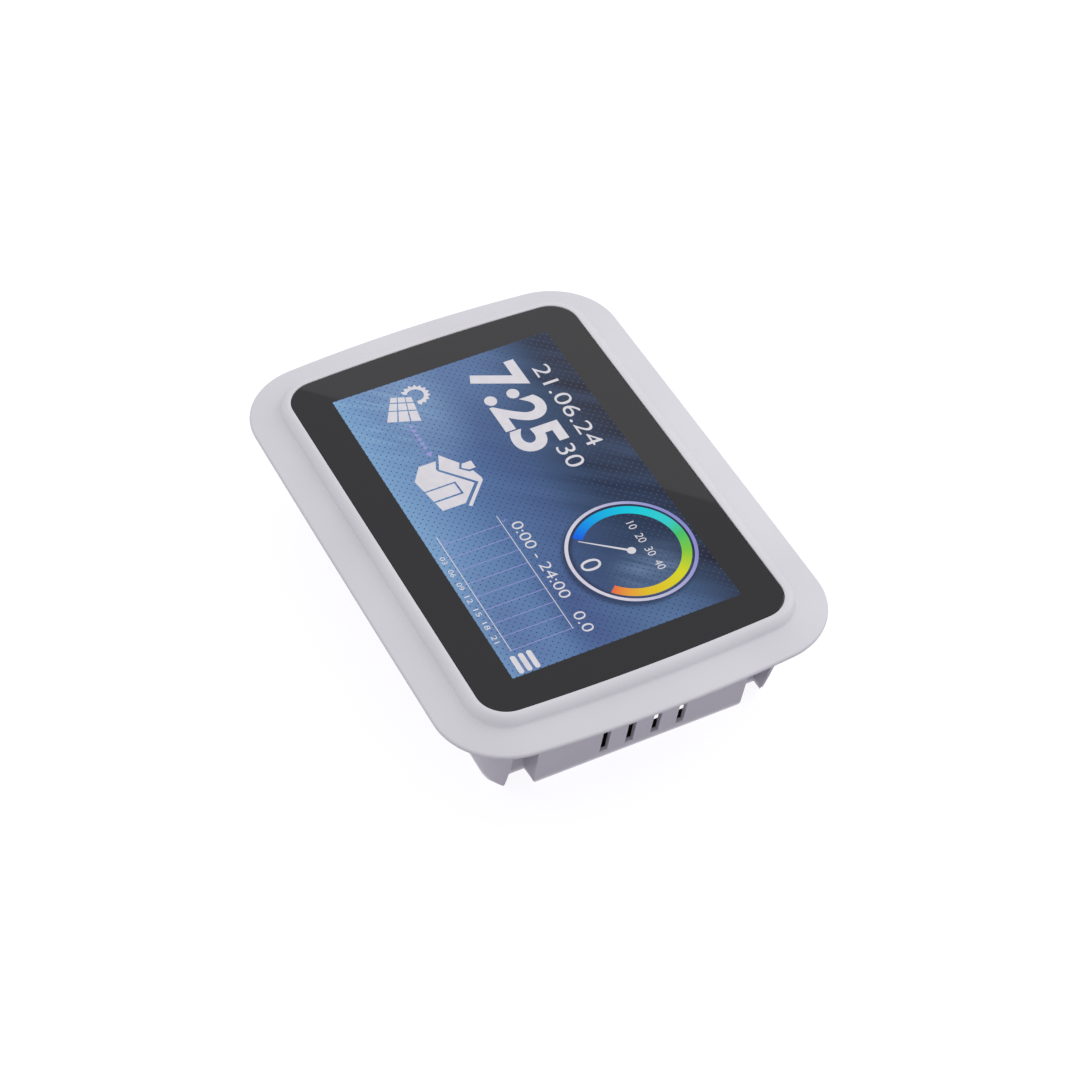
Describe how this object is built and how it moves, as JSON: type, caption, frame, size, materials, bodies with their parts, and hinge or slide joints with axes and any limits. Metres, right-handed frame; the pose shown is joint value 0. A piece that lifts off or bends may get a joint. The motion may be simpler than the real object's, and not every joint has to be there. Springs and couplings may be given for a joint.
{
  "type": "solar monitoring gateway",
  "caption": "Flat touch-screen gateway with a bowed bezel, a raised glass lip and a deep rear housing with vented, tapered end blocks, on a wall plate with a cable opening.",
  "frame": {"origin": "centre of the rear face, which lies against the wall or the table", "axes": "+Z the way the screen faces, +X along the screen, +Y up the screen"},
  "size_m": [0.1536, 0.1074, 0.0334],
  "materials": {
    "bezel_plastic": "fine matt",
    "housing_plastic": "fine matt",
    "cover_glass": "black printed border, clear window",
    "plate_black": "black, moulded",
    "tape": "foam tape",
    "display_cell": "polarised cell",
    "light_guide": "milky acrylic",
    "zinc_steel": "zinc plated",
    "nickel": "nickel plated",
    "brass": "turned",
    "polyimide": "amber film",
    "board": "solder mask",
    "black_epoxy": "moulded epoxy",
    "connector_plastic": "nylon",
    "terminal_green": "nylon",
    "thermal_pad": "silicone",
    "anodised": "anodised"
  },
  "bodies": {
    "unit": {"front_bezel": "bezel_plastic", "rear_housing": "housing_plastic", "touch_glass": "cover_glass", "wall_plate": "plate_black", "glass_adhesive": "tape", "lcd_cell": "display_cell", "light_guide": "light_guide", "backlight_tray": "zinc_steel", "display_bracket": "zinc_steel", "bracket_screws": "zinc_steel", "case_screws": "zinc_steel", "terminal_screws": "zinc_steel", "antenna": "zinc_steel", "shield_can": "nickel", "coin_cell": "nickel", "service_port": "nickel", "board_standoffs": "brass", "display_flex": "polyimide", "touch_flex": "polyimide", "main_board": "board", "wireless_module": "board", "processor": "black_epoxy", "memory_chips": "black_epoxy", "power_chips": "black_epoxy", "buzzer": "black_epoxy", "fuse": "black_epoxy", "ethernet_jack": "black_epoxy", "coin_cell_holder": "black_epoxy", "power_inductor": "black_epoxy", "reset_switch": "black_epoxy", "display_connector": "connector_plastic", "touch_connector": "connector_plastic", "terminal_block": "terminal_green", "thermal_pad": "thermal_pad", "heat_sink": "anodised", "capacitors": "anodised"},
    "reset": {"reset_button": "housing_plastic"}
  },
  "joints": [
    {"name": "reset_press", "type": "slide", "parent": "unit", "child": "reset", "axis": [0, 0, 1], "range_m": [0, 0.0005], "stiffness_N_per_m": 1200}
  ]
}
